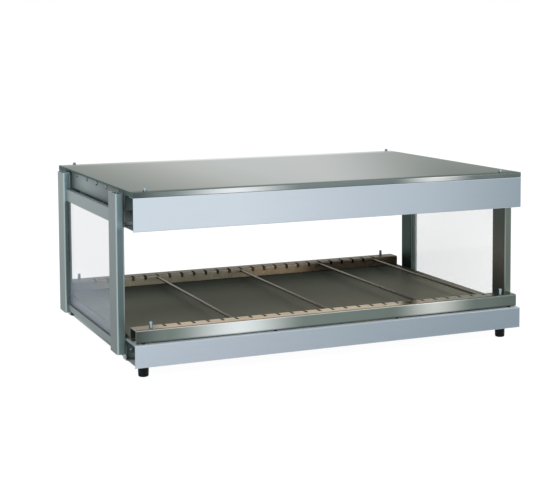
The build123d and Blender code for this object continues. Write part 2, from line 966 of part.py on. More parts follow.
def cord_gland():
    """Cord inlet bush: flange outside, body through the fascia, open bore."""
    inner_end = half_depth - sheet - gland_tail
    outer_end = half_depth + gland_proud
    bush = rod_along("Y", gland_flange / 2, half_depth, outer_end, (0, 0))
    bush = fillet(bush.edges().group_by(Axis.Y)[-1], gland_round)
    bush += rod_along("Y", gland_diameter / 2, inner_end, half_depth, (0, 0))
    bush -= rod_along("Y", gland_bore / 2, inner_end - over, outer_end + over, (0, 0))
    return Pos(gland_x(), 0, base_middle) * bush


def gland_nut():
    """Hexagonal nut that clamps the gland to the fascia from inside."""
    hexagon = RegularPolygon(gland_flange / 2, 6) - Circle(gland_diameter / 2)
    nut = extrude(Plane.XZ.offset(-(half_depth - sheet)) * hexagon, amount=nut_thickness)
    return Pos(gland_x(), 0, base_middle) * nut


def loom_y():
    return channel_inner + loom_inset


def loom_low():
    return base_top - loom_drop


def loom_high():
    return fascia_top - loom_top_drop


def terminal_end():
    return gland_x() - terminal_from_gland


def terminal_bed():
    """Front and rear of the parts that stand in the rear channels, clear of the channel's lip."""
    return (channel_inner + bend + lip_gap, channel_inner + terminal_depth)


def terminal_block():
    """Terminal block in the rear channel, with a row of screw wells along its top."""
    x = (terminal_end() - terminal_width, terminal_end())
    top = base_top - sheet - terminal_gap
    body = block(x, terminal_bed(), (base_bottom + sheet, top))
    for number in range(terminal_wells):
        well_x = x[0] + terminal_width * (number + 0.5) / terminal_wells
        body -= rod_along("Z", well_diameter / 2, top - well_depth, top + over,
                          (well_x, terminal_bed()[1] - well_setback))
    return body


def junction_box():
    """Box in the rear of the canopy where the loom meets the element leads."""
    return block((terminal_end() - terminal_width, terminal_end()), terminal_bed(),
                 (canopy_bottom + sheet, fascia_top - sheet - junction_headroom))


def wiring_loom():
    """Sleeved wires from the base, up inside the rear right post, to the canopy."""
    inside = half_width + post_thickness / 2
    path = FilletPolyline(
        (terminal_end(), loom_y(), loom_low()),
        (inside, loom_y(), loom_low()),
        (inside, loom_y(), loom_high()),
        (terminal_end(), loom_y(), loom_high()),
        radius=loom_bend,
    )
    return sweep(Plane(path @ 0, z_dir=path % 0) * Circle(loom_diameter / 2), path=path)


def build():
    os.makedirs("parts", exist_ok=True)

    save("top_cover", top_cover())
    save_group("top_pins", top_pins())
    fascia = canopy_fascia()
    save("front_fascia", fascia)
    save("rear_fascia", mirror_y(fascia))
    panel = end_panel()
    save("right_end_panel", panel)
    save("left_end_panel", mirror_x(panel))
    save_group("end_panel_screws", end_screws())
    save_group("canopy_bearers", [Pos(n * bearer_spacing, 0, 0) * canopy_bearer() for n in (-1, 0, 1)])
    save("heater_pan", heater_pan())
    for name, row in (("front", -element_row), ("rear", element_row)):
        save(f"{name}_reflector", reflector(row))
        save(f"{name}_heating_element", heating_element(row))
        save(f"{name}_wire_guard", wire_guard(row))
    save_group("element_insulators", insulators())

    post = frame_post()
    save("right_front_post", post)
    save("left_front_post", mirror_x(post))
    save("left_rear_post", mirror_x(mirror_y(post)))
    save("right_rear_post", rear_right_post())
    for node, piece in (
        ("upper_rail", upper_rail()),
        ("lower_rail", lower_rail()),
        ("glass_panel", glass_panel()),
        ("glazing_gasket", glazing_gasket()),
    ):
        save(f"right_{node}", piece)
        save(f"left_{node}", mirror_x(piece))
    save_group("frame_brackets", frame_brackets())
    save_group("frame_screws", frame_screws())

    save("front_base_fascia", base_fascia(front_foot_inset))
    save("rear_base_fascia", rear_base_fascia())
    save("base_pan", base_pan())
    save_group("pan_screws", pan_screws())
    save("insulation_slab", insulation())
    save("shelf_heater", shelf_heater())
    save("shelf_plate", shelf_plate())
    save_group("feet", at_the_feet(foot()))
    save_group("foot_screws", at_the_feet(foot_screw()))

    rail = tray_rail()
    save("front_tray_rail", rail)
    save("rear_tray_rail", mirror_y(rail))
    save_group("rail_spacers", rail_spacers())
    save_group("rail_pins", four_corners(rail_pin()))
    for number, index in enumerate(rod_slots, start=1):
        save(f"divider_rod_{number}", divider_rod(index))

    save("thermostat", thermostat())
    save("thermostat_shaft", thermostat_shaft())
    save("thermostat_knob", thermostat_knob())
    save("switch_housing", switch_housing())
    save("power_rocker", power_rocker())
    save("cord_gland", cord_gland())
    save("gland_nut", gland_nut())
    save("terminal_block", terminal_block())
    save("junction_box", junction_box())
    save("wiring_loom", wiring_loom())


build()
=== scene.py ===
import json
import math

import bmesh
import bpy
from mathutils import Matrix, Vector
from mathutils.bvhtree import BVHTree

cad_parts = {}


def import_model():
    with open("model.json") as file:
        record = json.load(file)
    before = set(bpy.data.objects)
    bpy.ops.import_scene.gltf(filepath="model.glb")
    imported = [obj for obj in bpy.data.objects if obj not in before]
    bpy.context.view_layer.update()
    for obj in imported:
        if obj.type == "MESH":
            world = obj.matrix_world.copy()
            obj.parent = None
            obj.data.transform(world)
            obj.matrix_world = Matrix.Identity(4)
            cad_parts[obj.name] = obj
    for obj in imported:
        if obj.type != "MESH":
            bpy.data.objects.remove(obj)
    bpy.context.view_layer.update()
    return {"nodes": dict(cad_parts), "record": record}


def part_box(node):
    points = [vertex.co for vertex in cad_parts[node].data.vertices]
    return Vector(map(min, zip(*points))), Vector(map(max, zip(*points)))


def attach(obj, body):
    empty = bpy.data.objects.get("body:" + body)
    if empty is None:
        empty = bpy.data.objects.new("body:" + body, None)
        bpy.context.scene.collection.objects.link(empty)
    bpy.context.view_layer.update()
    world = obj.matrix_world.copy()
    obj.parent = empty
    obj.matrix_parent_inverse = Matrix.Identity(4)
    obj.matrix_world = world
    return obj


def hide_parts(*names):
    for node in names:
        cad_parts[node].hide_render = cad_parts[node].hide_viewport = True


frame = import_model()

# A heated merchandiser for a counter. Metres, X along its width, -Y towards the customer, Z up.
MM = 0.001
REARWARD = Vector((0, 1, 0))
cover_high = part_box("top_cover")[1]
canopy_low, canopy_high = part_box("front_fascia")
base_low, base_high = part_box("front_base_fascia")
rear_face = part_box("rear_base_fascia")[1].y
front_face = base_low.y
middle_y = (front_face + rear_face) / 2
half_width = cover_high.x


class Signal:
    """A socket in a finish. Arithmetic on it adds Math nodes."""

    def __init__(self, finish, socket):
        self.finish = finish
        self.socket = socket

    def math(self, operation, *terms):
        return self.finish.node("Math", {"operation": operation}, dict(enumerate(terms)))

    def __add__(self, other):
        return self.math("ADD", self, other)

    def __sub__(self, other):
        return self.math("SUBTRACT", self, other)

    def __rsub__(self, other):
        return self.math("SUBTRACT", other, self)

    def __mul__(self, other):
        return self.math("MULTIPLY", self, other)

    def __abs__(self):
        return self.math("ABSOLUTE", self)

    __radd__ = __add__
    __rmul__ = __mul__


class Finish:
    """A material: one Principled shader, and the nodes that vary its colour, gloss and relief."""

    def __init__(self, name, constants):
        self.material = bpy.data.materials.new(name)
        self.material.use_nodes = True
        self.tree = self.material.node_tree
        self.shader = self.tree.nodes["Principled BSDF"]
        for socket, value in constants.items():
            self.feed(self.shader.inputs[socket], value)
        place = self.tree.nodes.new("ShaderNodeTexCoord")
        self.point = Signal(self, place.outputs["Object"])
        self.normal = Signal(self, place.outputs["Normal"])

    def feed(self, socket, value):
        if isinstance(value, Signal):
            self.tree.links.new(value.socket, socket)
        elif socket.type == "RGBA":
            socket.default_value = (*value, 1.0)
        else:
            socket.default_value = value

    def node(self, kind, settings, sockets, out=0):
        made = self.tree.nodes.new("ShaderNode" + kind)
        for name, value in settings.items():
            if name == "stops":
                self.set_stops(made.color_ramp, value)
            else:
                setattr(made, name, value)
        for key, value in sockets.items():
            self.feed(made.inputs[key], value)
        return Signal(self, made.outputs[out])

    def set_stops(self, ramp, stops):
        ramp.interpolation = "LINEAR"
        while len(ramp.elements) < len(stops):
            ramp.elements.new(1.0)
        for element, (position, colour) in zip(ramp.elements, stops):
            element.position = position
            element.color = (*colour, 1.0)

    def parts(self, vector):
        split = self.node("SeparateXYZ", {}, {0: vector})
        return [Signal(self, output) for output in split.socket.node.outputs]

    def rise(self, value, start, end):
        """0 up to the start, 1 from the end on, eased between them."""
        return self.node("MapRange", {"interpolation_type": "SMOOTHSTEP"},
                         {0: value, 1: start, 2: end, 3: 0.0, 4: 1.0})

    def band(self, value, centre, reach):
        """1 at the centre, easing to 0 at the reach on both sides."""
        return 1 - self.rise(abs(value - centre), 0.0, reach)

    def noise(self, scale, detail=2.0):
        """Noise from 0 to 1, with so many cells per metre along X, Y and Z."""
        stretched = self.node("Mapping", {}, {"Vector": self.point, "Scale": scale})
        return self.node("TexNoise", {}, {"Vector": stretched, "Scale": 1.0, "Detail": detail})

    def even_noise(self, scale, detail):
        return self.noise([scale] * 3, detail)

    def streaks(self, along, across=900.0, length=7.0):
        """Brushed grain along one axis, from fine scratches and a few wide, faint bands."""
        fine = [across] * 3
        fine["XYZ".index(along)] = length
        wide = [across / 6] * 3
        wide["XYZ".index(along)] = length / 3
        return self.noise(fine, 3.0) * 0.6 + self.noise(wide, 1.0) * 0.4

    def ramp(self, value, stops):
        return self.node("ValToRGB", {"stops": stops}, {0: value})

    def mix(self, share, first, second, blend="MIX"):
        return self.node("Mix", {"data_type": "RGBA", "blend_type": blend},
                         {0: share, 6: first, 7: second}, out=2)

    def shade(self, colour, amount):
        """The colour times a number that may vary."""
        grey = self.node("CombineColor", {}, {0: amount, 1: amount, 2: amount})
        return self.mix(1.0, colour, grey, "MULTIPLY")

    def relief(self, height, depth, strength=1.0):
        bump = self.node("Bump", {}, {"Height": height, "Distance": depth, "Strength": strength})
        self.feed(self.shader.inputs["Normal"], bump)

    def paint(self, **inputs):
        for name, value in inputs.items():
            self.feed(self.shader.inputs[name.replace("_", " ")], value)
        return self.material


def outward(finish, coordinate, facing, centre=0.0):
    """1 where a face looks away from the cabinet's middle along one axis, and 0 elsewhere."""
    away = facing * finish.node("Math", {"operation": "SIGN"}, {0: coordinate - centre})
    return finish.rise(away, 0.35, 0.75)


def past_middle(finish, coordinate, reach=0.1):
    """0 on the left or front half of the cabinet and 1 on the other, eased over the reach."""
    return finish.rise(coordinate, -reach, reach)


def in_canopy(finish, z):
    """0 in the base, 1 in the canopy."""
    return finish.rise(z, base_high.z, canopy_low.z)


def painted_reflection_bands(finish, x, dark, bright, centres, second_share):
    """Two soft painted reflections along a bright lip: a wide one on the left, a narrower one on the
    right.

    Between them the lip is dark, with painted shade that deepens to the right and at both ends, darkest at
    its left end.
    """
    left_reach, right_reach = 0.172, 0.12
    left = finish.band(x, centres[0], left_reach)
    right = finish.band(x, centres[1], right_reach) * second_share
    # Painted shade: the dark lip dims to the right and at both of its ends.
    fall = finish.rise(x, -0.2, 0.35) * 0.24
    left_end_shade = finish.rise(x * -1, 0.425, 0.5) * 0.65
    right_end_shade = finish.rise(x, 0.4, 0.48) * 0.16
    dark = finish.shade(dark, 1.1 - fall - left_end_shade - right_end_shade)
    red, green, blue = bright
    warm_bright = (red * 1.03, green, blue * 0.95)
    return finish.mix(left + right, dark, finish.mix(finish.rise(x, 0.0, 0.15), bright, warm_bright))


# Finishes of the sheet metal
def cover_steel():
    """Brushed lid: a grey top with a broad painted sheen that fades to the right in painted shade, and
    lips banded with painted reflections.
    """
    steel = Finish("cover_steel", {"Specular Tint": (0.42, 0.43, 0.42), "Specular IOR Level": 0.0})
    x, y, _ = steel.parts(steel.point)
    facing_x, facing_y, facing_z = steel.parts(steel.normal)
    grain = steel.streaks("X", 700.0, 5.0)
    drift = steel.noise([1.6, 1.2, 1.0], 1.0)
    # Painted sheen: the top is darkest at its left end and lightest near the middle.
    top = steel.ramp(x + half_width, [
        (0.0, (0.235, 0.255, 0.24)),
        (0.06, (0.275, 0.295, 0.275)),
        (0.16, (0.355, 0.37, 0.35)),
        (0.29, (0.46, 0.475, 0.455)),
        (0.42, (0.505, 0.525, 0.515)),
        (0.6, (0.52, 0.535, 0.53)),
    ])
    top = steel.shade(top, 0.9 + grain * 0.14 + drift * 0.06)
    # Painted shade: the top darkens to the right along a slanting edge, more towards the front.
    slant = 0.39
    painted_shade_right = steel.rise(x - (y - middle_y) * slant, 0.08, 0.48)
    deepest = 0.63 - y * 0.39
    top = steel.mix(painted_shade_right * deepest, top, (0.085, 0.115, 0.09))
    # Painted highlight: a light line along the rear bend.
    rear_bend_highlight = steel.rise(y, rear_face - 60 * MM, rear_face - 12 * MM)
    top = steel.shade(top, 1 + rear_bend_highlight * 0.55)
    # Painted shade: a dark line along the front fold.
    front_fold_shade = 1 - steel.rise(y, front_face + 12 * MM, front_face + 34 * MM)
    top = steel.mix(front_fold_shade * 0.78, top, (0.06, 0.09, 0.082))
    lip = painted_reflection_bands(steel, x, (0.155, 0.195, 0.19), (0.72, 0.76, 0.77), (-0.26, 0.256), 0.79)
    lip = steel.shade(lip, 0.92 + grain * 0.16)
    upright = steel.rise(abs(facing_y), 0.6, 0.9)
    colour = steel.mix(upright, top, lip)
    # Painted shade: the end edges are dark teal.
    end_edge_shade = steel.rise(abs(facing_x), 0.5, 0.8)
    colour = steel.mix(end_edge_shade, colour, (0.1, 0.145, 0.138))
    # Painted shade: the underside is darker than the top.
    under = steel.rise(facing_z * -1, 0.4, 0.8)
    colour = steel.mix(under, colour, (0.16, 0.17, 0.165))
    steel.relief(grain, 0.06 * MM, 0.35)
    return steel.paint(Base_Color=colour, Metallic=0.5 + upright * 0.5, Roughness=0.3 + grain * 0.14)


def fascia_metal():
    """Satin blue-grey fascia: painted light makes it lightest at the left, with painted highlights on the
    pale folded edges and painted shade on the darker insides.
    """
    satin = Finish("fascia_metal", {"Specular Tint": (0.75, 0.78, 0.8)})
    x, y, z = satin.parts(satin.point)
    _, facing_y, facing_z = satin.parts(satin.normal)
    grain = satin.streaks("X", 1100.0, 9.0)
    cloud = satin.noise([3.0, 3.0, 6.0], 1.0)
    # Painted light: the canopy's run is lightest at the left and falls off to the right; the base's run
    # below is painted darker.
    canopy = satin.ramp(x + half_width, [
        (0.0, (0.545, 0.615, 0.675)),
        (0.25, (0.545, 0.605, 0.663)),
        (0.41, (0.485, 0.545, 0.604)),
        (0.6, (0.418, 0.478, 0.534)),
        (0.74, (0.375, 0.432, 0.485)),
        (1.0, (0.248, 0.305, 0.35)),
    ])
    base = satin.ramp(x + half_width, [
        (0.0, (0.435, 0.5, 0.565)),
        (0.25, (0.382, 0.435, 0.492)),
        (0.58, (0.3, 0.357, 0.404)),
        (1.0, (0.225, 0.278, 0.322)),
    ])
    high = in_canopy(satin, z)
    run = satin.mix(high, base, canopy)
    run = satin.shade(run, 0.96 + grain * 0.05 + cloud * 0.03)
    # Painted highlights along the folded edges.
    fold_levels = (canopy_low.z, canopy_high.z, base_low.z, base_high.z)
    folds = sum(satin.band(z, level, 2.6 * MM) for level in fold_levels)
    run = satin.mix(folds * 0.3, run, (0.82, 0.87, 0.92))
    # Painted shade inside the channels.
    base_inside = satin.mix(cloud, (0.16, 0.225, 0.22), (0.22, 0.29, 0.28))
    canopy_inside = satin.mix(cloud, (0.086, 0.165, 0.163), (0.118, 0.21, 0.206))
    inside = satin.mix(high, base_inside, canopy_inside)
    # The flanges are painted lighter than the insides, with painted shade on the canopy's inner floor.
    flange = satin.mix(cloud, (0.4, 0.46, 0.49), (0.52, 0.58, 0.61))
    canopy_floor_shade = high * satin.rise(facing_z, 0.5, 0.8)
    flange = satin.shade(flange, 1 - canopy_floor_shade * 0.6)
    lying = satin.rise(abs(facing_z), 0.5, 0.8)
    body = satin.mix(lying, inside, flange)
    outer = outward(satin, y, facing_y, middle_y)
    colour = satin.mix(outer, body, run)
    satin.relief(grain, 0.04 * MM, 0.25)
    return satin.paint(Base_Color=colour, Metallic=0.1 + outer * 0.5, Roughness=0.36 + grain * 0.1)


def end_metal():
    """Plain satin sheet of the canopy's ends and of the pans, with painted light making it lighter to the
    rear and painted shade on its insides.
    """
    sheet = Finish("end_metal", {"Specular Tint": (0.6, 0.62, 0.62), "Specular IOR Level": 0.2})
    x, y, z = sheet.parts(sheet.point)
    facing_x, _, facing_z = sheet.parts(sheet.normal)
    grain = sheet.streaks("Y", 900.0, 8.0)
    cloud = sheet.noise([5.0, 4.0, 9.0], 2.0)
    outer = sheet.mix(cloud, (0.235, 0.28, 0.28), (0.28, 0.33, 0.33))
    # Painted light: the outer faces are lighter to the rear.
    outer = sheet.shade(outer, 0.27 + grain * 0.12 + past_middle(sheet, y, 0.25) * 1.05)
    # The heater pan's end walls, 19 mm behind the end panels, are in shade.
    set_back = 1 - sheet.rise(abs(x), 0.478, 0.484)
    slate = sheet.mix(cloud, (0.04, 0.09, 0.086), (0.056, 0.115, 0.11))
    outer = sheet.mix(set_back, outer, slate)
    # Painted shade on the insides, deeper in the canopy.
    base_inner = sheet.mix(cloud, (0.17, 0.235, 0.225), (0.23, 0.3, 0.285))
    canopy_inner = sheet.mix(cloud, (0.13, 0.195, 0.188), (0.175, 0.245, 0.238))
    inner = sheet.mix(in_canopy(sheet, z), base_inner, canopy_inner)
    side = outward(sheet, x, facing_x)
    colour = sheet.mix(side, inner, outer)
    under = sheet.mix(cloud, (0.3, 0.31, 0.3), (0.38, 0.39, 0.38))
    below = sheet.rise(facing_z * -1, 0.5, 0.9)
    colour = sheet.mix(below, colour, under)
    sheet.relief(grain, 0.04 * MM, 0.3)
    plain = side * (1 - set_back * 0.9)
    metal = 0.06 + plain * (0.12 + past_middle(sheet, y, 0.2) * 0.22) + below * 0.6
    return sheet.paint(Base_Color=colour, Metallic=metal, Roughness=0.38 + grain * 0.12)


def frame_aluminium():
    """Anodised frame sections with their light painted in: grey outer faces, slate front and rear faces,
    painted highlights as pale lines at the corners.
    """
    anodised = Finish("frame_aluminium", {"Metallic": 0.75, "Specular Tint": (0.6, 0.64, 0.65)})
    x, y, z = anodised.parts(anodised.point)
    facing_x, facing_y, facing_z = anodised.parts(anodised.normal)
    grain = anodised.streaks("Z", 1200.0, 10.0)
    cloud = anodised.noise([4.0, 4.0, 5.0], 1.0)
    # Painted light: the outer faces are lighter higher up, to the rear and on the set-back rails.
    up = anodised.rise(z, base_low.z, cover_high.z)
    side = anodised.mix(up, (0.21, 0.245, 0.24), (0.3, 0.34, 0.34))
    # The rails' outer faces, 9 mm behind the posts' ones.
    set_back = 1 - anodised.rise(abs(x), 0.514, 0.519)
    side = anodised.shade(side, 0.76 + anodised.rise(y, front_face, rear_face) * 0.22 + set_back * 0.14)
    # Painted shade: the front and rear faces are slate, with painted light beside the canopy and the base
    # and a little painted shade at mid height.
    left_front = anodised.mix(up, (0.096, 0.138, 0.134), (0.122, 0.172, 0.182))
    right_front = anodised.mix(up, (0.112, 0.134, 0.116), (0.132, 0.162, 0.14))
    front = anodised.mix(anodised.rise(x, 0.0, 0.1), left_front, right_front)
    beside_canopy = anodised.rise(z, 0.325, 0.345)
    beside_base = 1 - anodised.rise(z, 0.072, 0.13)
    light = 1 + (beside_canopy + beside_base * 0.7) * 1.05 - anodised.band(z, 0.2, 0.12) * 0.1
    front = anodised.shade(front, light)
    # Painted reflection: a warm glow from the shelf on the front posts' inner faces; the rear posts' inner
    # faces are painted in deep shade.
    painted_shelf_glow = anodised.band(z, 0.19, 0.1)
    near_inner = anodised.mix(painted_shelf_glow, (0.072, 0.08, 0.067), (0.14, 0.13, 0.105))
    inner = anodised.mix(past_middle(anodised, y), near_inner, (0.018, 0.036, 0.03))
    # Each facing gets its own painted light: outer, inner, front and rear, and top and bottom faces.
    colour = anodised.mix(outward(anodised, x, facing_x), inner, side)
    colour = anodised.mix(anodised.rise(abs(facing_y), 0.5, 0.85), colour, front)
    colour = anodised.mix(anodised.rise(abs(facing_z), 0.5, 0.85), colour, (0.34, 0.4, 0.41))
    # Painted highlights along the corners, paler at the left.
    corner = anodised.band(abs(facing_x), 0.55, 0.5)
    edge = anodised.mix(past_middle(anodised, x), (0.38, 0.46, 0.48), (0.22, 0.26, 0.25))
    colour = anodised.mix(corner * 0.9, colour, edge)
    colour = anodised.shade(colour, 0.92 + grain * 0.1 + cloud * 0.06)
    anodised.relief(grain, 0.03 * MM, 0.25)
    return anodised.paint(Base_Color=colour, Roughness=0.34 + grain * 0.12)


def rail_steel():
    """Tray rails: painted reflections banded on the outer faces, a warm painted reflection on the near top
    and painted shade on the dark far one, and brownish inner walls in painted reflection and shade.
    """
    steel = Finish("rail_steel", {"Specular Tint": (0.7, 0.68, 0.62)})
    x, y, _ = steel.parts(steel.point)
    facing_x, facing_y, facing_z = steel.parts(steel.normal)
    grain = steel.streaks("X", 800.0, 5.0)
    cloud = steel.noise([14.0, 30.0, 20.0], 2.0)
    # Painted reflections banded along the outer faces.
    face = painted_reflection_bands(steel, x, (0.148, 0.184, 0.168), (0.7, 0.745, 0.745), (-0.251, 0.262), 0.65)
    # Painted reflection: the near top is warm, with painted shade at its right and left ends; the far top
    # is dark with painted shade.
    right_end_shade = steel.rise(x, 0.1, 0.42)
    near_top = steel.mix(cloud, (0.45, 0.35, 0.25), (0.9, 0.71, 0.52))
    near_top = steel.mix(right_end_shade, near_top, (0.13, 0.15, 0.125))
    left_end_shade = steel.rise(x * -1, 0.41, 0.46)
    near_top = steel.shade(near_top, 1 - left_end_shade * 0.6)
    far_top = steel.mix(cloud, (0.07, 0.068, 0.055), (0.125, 0.118, 0.096))
    rear = past_middle(steel, y)
    top = steel.mix(rear, near_top, far_top)
    # Painted reflection: the inner walls are warm brown, with painted shade at the far left and towards
    # the right.
    inner = steel.mix(past_middle(steel, x, 0.08), (0.64, 0.59, 0.43), (1.0, 0.74, 0.49))
    inner = steel.shade(inner, 0.8 + cloud * 0.4)
    far_left = steel.rise(x * -1, 0.34, 0.46) * rear
    inner = steel.mix(far_left, inner, (0.17, 0.21, 0.22))
    inner = steel.shade(inner, 1 - steel.rise(x, 0.12, 0.26) * 0.88)
    outer = outward(steel, y, facing_y, middle_y)
    colour = steel.mix(outer, inner, face)
    flat = steel.rise(facing_z, 0.55, 0.9)
    colour = steel.mix(flat, colour, top)
    # Painted highlight along the crest of each top, left out at the right end.
    crest_highlight = steel.band(facing_z, 0.6, 0.35) * (1 - right_end_shade)
    colour = steel.mix(crest_highlight * 0.5, colour, (0.8, 0.83, 0.84))
    # Painted light: the end faces are a pale teal.
    end_face = steel.rise(abs(facing_x), 0.6, 0.9)
    colour = steel.mix(end_face, colour, (0.36, 0.45, 0.47))
    colour = steel.shade(colour, 0.92 + grain * 0.14)
    steel.relief(grain, 0.05 * MM, 0.3)
    metal = 0.45 + steel.rise(outer + facing_z, 0.3, 0.8) * 0.5
    gloss = 0.28 + grain * 0.14 - flat * (1 - rear) * 0.16
    return steel.paint(Base_Color=colour, Metallic=metal, Roughness=gloss)


def shelf_coating():
    """Hard olive coating, faintly mottled, with fine rubbing marks along Y; painted reflection makes it
    lighter at the front and painted shade darker to the rear.
    """
    coat = Finish("shelf_coating", {"Metallic": 0.8, "Specular Tint": (0.3, 0.3, 0.27)})
    x, y, _ = coat.parts(coat.point)
    mottle = coat.even_noise(26.0, 4.0)
    rubs = coat.streaks("Y", 500.0, 6.0)
    # Painted reflection at the front, fading along a slant into painted shade at the middle and rear.
    near = coat.mix(mottle, (0.25, 0.245, 0.2), (0.36, 0.35, 0.29))
    middle = coat.mix(mottle, (0.135, 0.145, 0.12), (0.2, 0.21, 0.175))
    colour = coat.mix(coat.rise(y - x * 0.2, -0.24, 0.08), near, middle)
    colour = coat.mix(coat.rise(y, 0.02, 0.24), colour, (0.052, 0.06, 0.05))
    colour = coat.shade(colour, 0.9 + rubs * 0.2)
    pores = coat.even_noise(900.0, 2.0)
    coat.relief(mottle * 0.4 + pores * 0.6, 0.05 * MM, 0.4)
    return coat.paint(Base_Color=colour, Roughness=0.42 + mottle * 0.16)


def divider_steel():
    """Warm-toned drawn steel rod, unevenly worn."""
    rod = Finish("divider_steel", {"Metallic": 0.95})
    wear = rod.noise([40.0, 9.0, 40.0], 3.0)
    grain = rod.streaks("Y", 1500.0, 12.0)
    colour = rod.mix(wear, (0.04, 0.033, 0.023), (0.15, 0.125, 0.09))
    rod.relief(grain, 0.03 * MM, 0.3)
    return rod.paint(Base_Color=colour, Roughness=0.2 + grain * 0.14)


def pin_chrome():
    """Polished pins with a cool tint: painted light bright above and in front, painted shade dark behind,
    faintly smudged.
    """
    chrome = Finish("pin_chrome", {"Metallic": 1.0})
    smudge = chrome.even_noise(160.0, 3.0)
    _, facing_y, facing_z = chrome.parts(chrome.normal)
    # Painted light by facing: bright above and in front, dark behind.
    painted_light = chrome.rise(facing_y * -1 + facing_z, -0.4, 0.9)
    colour = chrome.mix(painted_light, (0.02, 0.036, 0.042), (0.26, 0.35, 0.39))
    return chrome.paint(Base_Color=colour, Roughness=0.1 + smudge * 0.16)


def fastener_steel():
    """Plated screws: painted light bright above and painted shade dark below, with a fine grain."""
    plated = Finish("fastener_steel", {"Metallic": 0.95})
    _, facing_y, facing_z = plated.parts(plated.normal)
    fine = plated.even_noise(500.0, 3.0)
    cloud = plated.even_noise(90.0, 1.0)
    # Painted light by facing: bright above and in front, dark below.
    lit = plated.rise(facing_y * -0.6 + facing_z, -0.1, 0.35)
    colour = plated.mix(lit, (0.05, 0.08, 0.095), plated.mix(cloud, (0.3, 0.4, 0.44), (0.5, 0.62, 0.68)))
    plated.relief(fine, 0.03 * MM, 0.3)
    return plated.paint(Base_Color=colour, Roughness=0.24 + fine * 0.16)


def bracket_steel():
    """Galvanised sheet with its crystal spangle."""
    zinc = Finish("bracket_steel", {"Metallic": 0.85})
    crystal = zinc.node("TexVoronoi", {}, {"Vector": zinc.point, "Scale": 130.0}, out=1)
    value = zinc.node("SeparateColor", {}, {0: crystal})
    colour = zinc.mix(value, (0.2, 0.225, 0.23), (0.31, 0.34, 0.345))
    return zinc.paint(Base_Color=colour, Roughness=0.34 + value * 0.18)


def reflector_aluminium():
    """Trough, polished inside and dull outside, a little clouded by heat."""
    bright = Finish("reflector_aluminium", {})
    _, _, facing_z = bright.parts(bright.normal)
    grain = bright.streaks("X", 700.0, 4.0)
    haze = bright.noise([9.0, 40.0, 40.0], 3.0)
    polished = bright.rise(facing_z * -1, -0.2, 0.1)
    inside = bright.mix(haze, (0.72, 0.71, 0.68), (0.86, 0.86, 0.85))
    outside = bright.mix(haze, (0.5, 0.66, 0.64), (0.6, 0.76, 0.74))
    colour = bright.mix(polished, outside, inside)
    bright.relief(grain, 0.03 * MM, 0.2)
    return bright.paint(Base_Color=colour, Metallic=polished * 0.9 + 0.05, Roughness=0.12 + haze * 0.18)


def element_sheath():
    """Alloy sheath and guard wires, browned unevenly by the heat."""
    alloy = Finish("element_sheath", {"Metallic": 0.85})
    heat = alloy.noise([22.0, 60.0, 60.0], 3.0)
    fine = alloy.even_noise(700.0, 2.0)
    colour = alloy.ramp(heat, [
        (0.3, (0.10, 0.09, 0.085)),
        (0.5, (0.19, 0.16, 0.135)),
        (0.7, (0.24, 0.225, 0.23)),
    ])
    alloy.relief(fine, 0.03 * MM, 0.4)
    return alloy.paint(Base_Color=colour, Roughness=0.38 + heat * 0.2)


def insulator_ceramic():
    """Unglazed ceramic, chalky with small pits."""
    ceramic = Finish("insulator_ceramic", {"Roughness": 0.6})
    cloud = ceramic.even_noise(120.0, 3.0)
    pits = ceramic.node("TexVoronoi", {}, {"Vector": ceramic.point, "Scale": 900.0})
    colour = ceramic.mix(cloud, (0.74, 0.7, 0.61), (0.85, 0.82, 0.75))
    ceramic.relief(pits, 0.08 * MM, 0.4)
    return ceramic.paint(Base_Color=colour)


def insulation_wool():
    """Mineral wool: matted yellow-grey fibres."""
    wool = Finish("insulation_wool", {"Roughness": 0.95})
    fibre = wool.noise([60.0, 700.0, 700.0], 5.0)
    cross = wool.noise([700.0, 60.0, 700.0], 5.0)
    mat = fibre * 0.5 + cross * 0.5
    colour = wool.mix(mat, (0.42, 0.38, 0.26), (0.72, 0.68, 0.52))
    wool.relief(mat, 1.2 * MM, 0.8)
    return wool.paint(Base_Color=colour)


def heater_blanket():
    """Rubber blanket heater with the rows of its wire showing through."""
    rubber = Finish("heater_blanket", {"Roughness": 0.55})
    _, y, _ = rubber.parts(rubber.point)
    radians_per_metre = 210.0
    wave = rubber.node("Math", {"operation": "SINE"}, {0: y * radians_per_metre})
    wire = rubber.rise(abs(wave), 0.86, 0.98)
    weave = rubber.even_noise(900.0, 2.0)
    colour = rubber.mix(wire, (0.32, 0.09, 0.05), (0.42, 0.15, 0.09))
    colour = rubber.shade(colour, 0.85 + weave * 0.3)
    rubber.relief(wire * 0.8 + weave * 0.2, 0.4 * MM, 0.6)
    return rubber.paint(Base_Color=colour)


# Finishes of glass, rubber and plastic
def glass():
    """Clear end glass: its faint body changes a little with height and is less on the right pane, whose
    faces are painted lighter as painted light where the cabinet shades it.
    """
    pane = Finish("glass", {})
    x, _, z = pane.parts(pane.point)
    facing_x, _, _ = pane.parts(pane.normal)
    wipe = pane.noise([30.0, 5.0, 14.0], 3.0)
    left = pane.mix(pane.rise(z, 0.13, 0.2), (0.46, 0.55, 0.66), (0.29, 0.34, 0.39))
    # Painted light: the right pane's faces are painted lighter, and its body is thinned higher up, where
    # the cabinet shades it.
    right = pane.mix(pane.rise(facing_x, -0.1, 0.1), (0.95, 0.98, 1.0), (0.82, 0.88, 1.0))
    at_right = past_middle(pane, x)
    colour = pane.mix(at_right, left, right)
    body = 0.205 - at_right * (0.012 + pane.rise(z, 0.14, 0.26) * 0.028)
    return pane.paint(Base_Color=colour, Roughness=0.03 + wipe * 0.05, Alpha=body)


